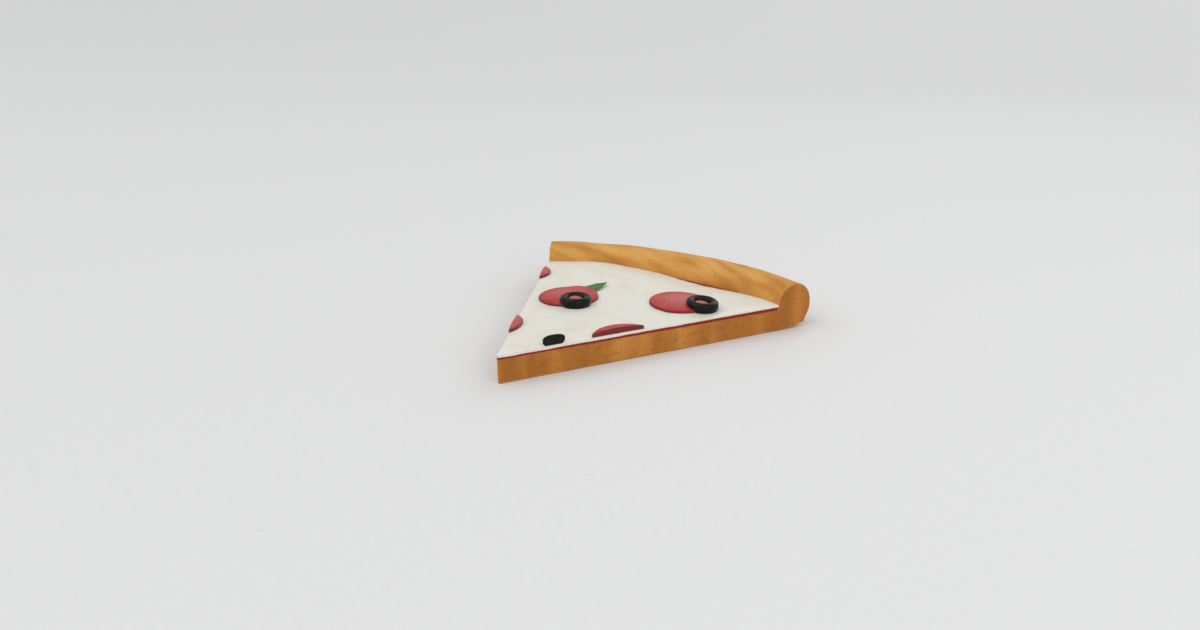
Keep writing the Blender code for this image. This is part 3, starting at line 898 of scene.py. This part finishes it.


# Cured pork and beef sausage, fried on the pizza: brick red and oily, marbled with pale fat, with a
# darker line of casing round the edge, painted shade on the knife's cut faces and a painted sheen
# towards the middle
def curedSausage():
    gloss = {"IOR": 1.45, "Specular IOR Level": 0.4}
    surface, tree, shader, spot = newMaterial("cured sausage", gloss)
    meaty = {"Vector": spot, "Scale": 1 / (7 * mm), "Detail": 4, "Roughness": 0.6}
    lean = addNode(tree, "ShaderNodeTexNoise", meaty)
    tones = [(0.32, "#a41b12"), (0.5, "#b12016"), (0.68, "#bc2b21")]
    lean = addNode(tree, "ShaderNodeValToRGB", {"Fac": lean}, stops=tones)
    # paler towards the middle, on the slices at the tip and rim and inside the olive rings: a painted
    # sheen, the light a moist surface gives back
    outwards = addNode(tree, "ShaderNodeAttribute", output="Fac", attribute_name="outwards")
    paintedSheen = {"Value": outwards, "From Min": 1, "From Max": 0.15, "To Min": 0, "To Max": 0.6}
    paintedSheen = addNode(tree, "ShaderNodeMapRange", paintedSheen, interpolation_type="SMOOTHSTEP")
    pale = addNode(tree, "ShaderNodeAttribute", output="Fac", attribute_name="pale")
    paintedSheen = addNode(tree, "ShaderNodeMath", {0: paintedSheen, 1: pale}, operation="ADD")
    lean = addNode(tree, "ShaderNodeMix", {0: paintedSheen, 6: lean, 7: "#c56d64"}, 2, data_type="RGBA")
    # flecks of fat, 1 to 2.5 mm across, of uneven outline
    wobble = addNode(tree, "ShaderNodeTexNoise", {"Vector": spot, "Scale": 1 / (2 * mm)}, 1)
    moved = {0: wobble, 1: (1.6 * mm, 1.6 * mm, 1.6 * mm), 2: spot}
    warped = addNode(tree, "ShaderNodeVectorMath", moved, operation="MULTIPLY_ADD")
    cells = {"Vector": warped, "Scale": 1 / (3 * mm)}
    chance = addNode(tree, "ShaderNodeTexVoronoi", cells, "Color")
    chance = addNode(tree, "ShaderNodeSeparateColor", {"Color": chance})
    reach = {"Value": chance, "From Min": 0.5, "From Max": 1, "To Min": 0, "To Max": 0.4}
    reach = addNode(tree, "ShaderNodeMapRange", reach)
    middle = addNode(tree, "ShaderNodeTexVoronoi", cells)
    inside = addNode(tree, "ShaderNodeMath", {0: reach, 1: middle}, operation="SUBTRACT")
    soft = {"Value": inside, "From Min": -0.06, "From Max": 0.2, "To Min": 0, "To Max": 0.4}
    fleck = addNode(tree, "ShaderNodeMapRange", soft, interpolation_type="SMOOTHSTEP")
    meat = addNode(tree, "ShaderNodeMix", {0: fleck, 6: lean, 7: "#cb7a68"}, 2, data_type="RGBA")
    casingAndCutShade = {"Value": outwards, "From Min": 0.93, "From Max": 0.99, "To Min": 0, "To Max": 0.9}
    casingAndCutShade = addNode(tree, "ShaderNodeMapRange", casingAndCutShade)
    cut = addNode(tree, "ShaderNodeAttribute", output="Fac", attribute_name="cut")
    # the cut faces take the casing's dark as painted shade
    casingAndCutShade = addNode(tree, "ShaderNodeMath", {0: casingAndCutShade, 1: cut}, operation="MAXIMUM")
    meat = addNode(tree, "ShaderNodeMix", {0: casingAndCutShade, 6: meat, 7: "#761f18"}, 2, data_type="RGBA")
    tree.links.new(meat, shader.inputs["Base Color"])
    oil = addNode(tree, "ShaderNodeTexNoise", {"Vector": spot, "Scale": 1 / (5 * mm)})
    oily = {"Value": oil, "From Min": 0.35, "From Max": 0.65, "To Min": 0.36, "To Max": 0.52}
    tree.links.new(addNode(tree, "ShaderNodeMapRange", oily), shader.inputs["Roughness"])
    minced = {"Vector": spot, "Scale": 1 / (0.7 * mm), "Detail": 4, "Roughness": 0.6}
    grain = addNode(tree, "ShaderNodeTexNoise", minced)
    bump = {"Height": grain, "Strength": 0.35, "Distance": 0.1 * mm}
    tree.links.new(addNode(tree, "ShaderNodeBump", bump), shader.inputs["Normal"])
    return surface


def makeOlive(name, surface):
    middle, height, fall, underneath = olives[name]
    centre = inSlice(middle)
    radius, hole = oliveLook["radius"], oliveLook["holeRadius"]
    deselectAll()
    bpy.ops.mesh.primitive_cylinder_add(
        vertices=oliveLook["sides"],
        radius=radius,
        depth=height,
        location=centre + Vector((0, 0, height / 2)),
    )
    ring = bpy.context.object
    ring.name = name
    bpy.ops.object.mode_set(mode="EDIT")
    # the two ends are inset to the stone's hole and joined through it, then all four rims rounded
    pickFaces(ring, lambda face: all(isLevel(edge) for edge in face.edges))
    bpy.ops.mesh.inset(thickness=radius - hole, depth=0)
    bpy.ops.mesh.delete(type="FACE")
    pickEdges(ring, lambda edge: edge.is_boundary)
    bpy.ops.mesh.bridge_edge_loops()
    bpy.ops.mesh.select_all(action="SELECT")
    bpy.ops.mesh.normals_make_consistent(inside=False)
    pickEdges(ring, lambda edge: isLevel(edge) and edge.calc_face_angle(0) > smoothAngle)
    bpy.ops.mesh.bevel(offset=oliveLook["round"], segments=oliveLook["roundSteps"])
    bpy.ops.object.mode_set(mode="OBJECT")
    applyTransforms(ring)
    cutAlong(ring)
    addModifier(ring, "REMESH", mode="VOXEL", voxel_size=oliveLook["voxel"])
    top = cheeseTop(centre) + pizza["gap"] + height

    def lay(corner):
        # soft from the oven, it lies down over the pepperoni's edge
        under = cheeseTop(corner) - oliveLook["sunk"]
        if underneath:
            sliceMiddle, sliceRadius, thickness = pepperoni[underneath][:3]
            out = flatDistance(corner, sliceMiddle) - sliceRadius
            onSlice = pepperoniHeight(underneath, corner, thickness - oliveLook["sunkInSlice"])
            under = mix(onSlice, under, smoothStep(-oliveLook["bend"], oliveLook["bend"], out))
        # the top keeps its round and what lies below it is pressed flat
        fallenTop = top - fall * (corner.x - centre.x)
        room = fallenTop - under
        share = min(max(corner.z / height, 0), 1)
        return Vector((corner.x, corner.y, under + room * share ** (height / room)))

    moveCorners(ring, lay)
    displace(ring, oliveLook["wrinkleSize"], oliveLook["wrinkle"])
    start, full = [radius - inwards for inwards in oliveLook["skin"]]
    outwards = [flatDistance(vert.co, middle) for vert in ring.data.vertices]
    keepFloats(ring, "skin", [smoothStep(start, full, out) for out in outwards])
    finishPiece(ring, camelCase(name), name, surface)


# Pitted black olive, sliced: smooth shiny skin round duller, slightly brown flesh
def blackOlive():
    gloss = {"IOR": 1.37, "Specular IOR Level": 0.3}
    surface, tree, shader, spot = newMaterial("black olive", gloss)
    skin = addNode(tree, "ShaderNodeAttribute", output="Fac", attribute_name="skin")
    mottled = {"Vector": spot, "Scale": 1 / (1.8 * mm), "Detail": 4, "Roughness": 0.6}
    flesh = addNode(tree, "ShaderNodeTexNoise", mottled)
    tones = [(0.35, "#0c0e09"), (0.65, "#191712")]
    flesh = addNode(tree, "ShaderNodeValToRGB", {"Fac": flesh}, stops=tones)
    colour = addNode(tree, "ShaderNodeMix", {0: skin, 6: flesh, 7: "#0d110c"}, 2, data_type="RGBA")
    tree.links.new(colour, shader.inputs["Base Color"])
    shine = {"Value": skin, "To Min": 0.42, "To Max": 0.3}
    tree.links.new(addNode(tree, "ShaderNodeMapRange", shine), shader.inputs["Roughness"])
    grain = addNode(tree, "ShaderNodeTexNoise", {"Vector": spot, "Scale": 1 / (0.6 * mm), "Detail": 3})
    bump = {"Height": grain, "Strength": 0.2, "Distance": 0.08 * mm}
    tree.links.new(addNode(tree, "ShaderNodeBump", bump), shader.inputs["Normal"])
    return surface


def leafHalfWidth(share):
    swelling = mix(leaf["baseWidth"], 1, math.sin(math.pi * min(share / leaf["fullWidthAt"], 1) / 2))
    taper = max(share - leaf["widestAt"], 0) / (1 - leaf["widestAt"])
    return leaf["halfWidth"] * swelling * (1 - taper ** leaf["taper"]) + leaf["edge"]


def makeLeaf():
    base, reach, aside = leafAxes()
    wavesAlong, wavesAcross = leaf["waves"]
    alongCells, acrossCells = leaf["cells"]
    freeFrom, freest, freeTo = leaf["free"]
    deselectAll()
    bpy.ops.mesh.primitive_grid_add(x_subdivisions=alongCells, y_subdivisions=acrossCells, size=2)
    blade = bpy.context.object
    shares = [(vert.co.x + 1) / 2 for vert in blade.data.vertices]
    sides = [vert.co.y for vert in blade.data.vertices]

    def shapeIt(corner):
        share, side = (corner.x + 1) / 2, corner.y
        spot = base + reach * share + aside * side * leafHalfWidth(share)
        free = smoothStep(freeFrom, freest, share) * (1 - smoothStep(freest, freeTo, share))
        lift = leaf["fold"] * abs(side) ** leaf["foldPower"] * free
        lift += leaf["tipLift"] * smoothStep(leaf["tipLiftFrom"], 1, share)
        wave = math.sin(share * wavesAlong + side * wavesAcross)
        lift += leaf["wave"] * (1 + wave) * abs(side) * free
        # the blade swells between the sunk midrib and side veins
        vein = abs(math.sin(math.pi * leaf["veins"] * (share - leaf["veinSlant"] * abs(side))))
        swelling = math.sqrt(vein) * smoothStep(0, leaf["midribWidth"], abs(side)) * (1 - share)
        lift += leaf["veinDepth"] * swelling
        height = cheeseTop(spot) + pizza["gap"] + leaf["packedThickness"] + lift
        return Vector((spot.x, spot.y, height))

    moveCorners(blade, shapeIt)
    keepFloats(blade, "share", shares)
    keepFloats(blade, "side", sides)
    addModifier(blade, "SOLIDIFY", thickness=leaf["thickness"], offset=-1)
    closeUp(blade, within=0.001 * mm)
    finishPiece(blade, "basilLeaf", "basil_leaf", freshBasil())


# Fresh basil: a waxy bright green blade, paler along the veins and darker at the scorched tip
def freshBasil():
    gloss = {"Roughness": 0.5, "IOR": 1.42}
    surface, tree, shader, spot = newMaterial("fresh basil", gloss)
    share = addNode(tree, "ShaderNodeAttribute", output="Fac", attribute_name="share")
    side = addNode(tree, "ShaderNodeAttribute", output="Fac", attribute_name="side")
    tone = addNode(tree, "ShaderNodeTexNoise", {"Vector": spot, "Scale": 1 / (2.5 * mm), "Detail": 4})
    tones = [(0.3, "#28651e"), (0.7, "#3c7a2a")]
    green = addNode(tree, "ShaderNodeValToRGB", {"Fac": tone}, stops=tones)
    away = addNode(tree, "ShaderNodeMath", {0: side}, operation="ABSOLUTE")
    slant = {0: away, 1: -leaf["veinSlant"], 2: share}
    slant = addNode(tree, "ShaderNodeMath", slant, operation="MULTIPLY_ADD")
    turns = {0: slant, 1: math.pi * leaf["veins"]}
    wave = addNode(tree, "ShaderNodeMath", turns, operation="MULTIPLY")
    wave = addNode(tree, "ShaderNodeMath", {0: wave}, operation="SINE")
    fromVein = addNode(tree, "ShaderNodeMath", {0: wave}, operation="ABSOLUTE")
    nearest = addNode(tree, "ShaderNodeMath", {0: fromVein, 1: away}, operation="MINIMUM")
    pale = {"Value": nearest, "From Min": 0, "From Max": 0.15, "To Min": 0.35, "To Max": 0}
    vein = addNode(tree, "ShaderNodeMapRange", pale)
    green = addNode(tree, "ShaderNodeMix", {0: vein, 6: green, 7: "#84b673"}, 2, data_type="RGBA")
    scorched = {"Value": share, "From Min": 0.84, "From Max": 0.97, "To Min": 0, "To Max": 0.85}
    scorched = addNode(tree, "ShaderNodeMapRange", scorched)
    green = addNode(tree, "ShaderNodeMix", {0: scorched, 6: green, 7: "#2a4527"}, 2, data_type="RGBA")
    tree.links.new(green, shader.inputs["Base Color"])
    grain = addNode(tree, "ShaderNodeTexNoise", {"Vector": spot, "Scale": 1 / (0.5 * mm), "Detail": 3})
    bump = {"Height": grain, "Strength": 0.2, "Distance": 0.06 * mm}
    tree.links.new(addNode(tree, "ShaderNodeBump", bump), shader.inputs["Normal"])
    return surface


def climb(point):
    # how much the melted cheese climbs beside a topping
    climbed = 0
    oliveFoot = oliveLook["radius"] - cheese["underOlive"]
    rounds = [values[:2] for values in pepperoni.values()]
    rounds += [(values[0], oliveFoot) for values in olives.values()]
    for middle, radius in rounds:
        out = flatDistance(point, middle) - radius
        climbed = max(climbed, math.exp(-max(out, 0) / cheese["clingWidth"]))
    return cheese["cling"] * climbed


def makeCheese():
    start = pizza["tipBluntness"]
    slab = standingPlane(start, rimInner, sauceTop(0), cheese["topAtRim"])

    def shapeIt(along, angle, up):
        angle = crowdedAtCuts(angle)
        recess = cheese["recess"] * hump(angle, cheese["recessAngle"], cheese["recessSpread"])
        recedes = min(recess / cheese["freeFrom"], 1)
        edge = rimInnerAt(angle) - recess + cheese["intoRim"] * (1 - recedes)
        wander = noise.noise(Vector((angle * rimInner, 0, 0)) / cheese["edgeWanderSize"])
        edge += cheese["edgeWander"] * wander * recedes
        radius = mix(start, edge, along)
        spot = fromPolar(radius, angle, 0)
        fromCut = radius * math.sin(max(halfCut - abs(angle), 0))
        sag = noise.noise(Vector((radius, cheese["sagApart"] * angle, 0)) / cheese["sagSize"])
        hanging = mix(*cheese["draped"], along) - cheese["sag"] * sag
        atCut = 1 - smoothStep(0, cheese["drapedWithin"], fromCut)
        bottom = sauceTop(radius, angle) - hanging * atCut
        ripple = noise.noise(spot / cheese["rippleSize"])
        ripple *= smoothStep(0, cheese["rippleFromCut"], fromCut)
        top = cheeseTop(spot) + climb(spot) + cheese["ripple"] * ripple
        top -= cheese["shoulder"] * (1 - smoothStep(0, cheese["shoulderWidth"], fromCut))
        onLip = smoothStep(edge - cheese["lip"], edge, radius)
        onLip *= hump(angle, cheese["recessAngle"], cheese["lipSpread"])
        top = mix(bottom, top, mix(1, cheese["lipShare"], onLip))
        return fromPolar(radius, angle, mix(bottom, top, up))

    makeLayer(slab, cheese["cells"], shapeIt)
    finishPiece(slab, "meltedCheese", "melted_cheese", mozzarella())


# Mozzarella melted and set: smooth, satin and cream, very slightly warmer where the oil stands
def mozzarella():
    milky = {
        "IOR": 1.4,
        "Subsurface Weight": 0.12,
        "Subsurface Radius": (1.0, 0.8, 0.5),
        "Subsurface Scale": 0.8 * mm,
    }
    surface, tree, shader, spot = newMaterial("melted mozzarella", milky)
    wide = {"Vector": spot, "Scale": 1 / (16 * mm), "Detail": 3}
    patches = addNode(tree, "ShaderNodeTexNoise", wide)
    tones = [(0.35, "#e6e5dc"), (0.55, "#e5e2d6"), (0.72, "#e1dbcb")]
    cream = addNode(tree, "ShaderNodeValToRGB", {"Fac": patches}, stops=tones)
    tree.links.new(cream, shader.inputs["Base Color"])
    satin = {"Value": patches, "From Min": 0.35, "From Max": 0.7, "To Min": 0.58, "To Max": 0.46}
    tree.links.new(addNode(tree, "ShaderNodeMapRange", satin), shader.inputs["Roughness"])
    creased = {"Vector": spot, "Scale": 1 / (3.4 * mm), "Detail": 4}
    folds = addNode(tree, "ShaderNodeTexNoise", creased)
    bump = {"Height": folds, "Strength": 0.25, "Distance": 0.25 * mm}
    tree.links.new(addNode(tree, "ShaderNodeBump", bump), shader.inputs["Normal"])
    return surface


addCamera()
addStudio()
print("studio ready")
makeDough()
print("dough baked")
makeSauce()
makeCheese()
print("sauce and cheese spread")
sausage = curedSausage()
for name in pepperoni:
    makePepperoni(name, sausage)
print("pepperoni laid")
olive = blackOlive()
for name in olives:
    makeOlive(name, olive)
print("olives laid")
makeLeaf()
print("leaf laid")
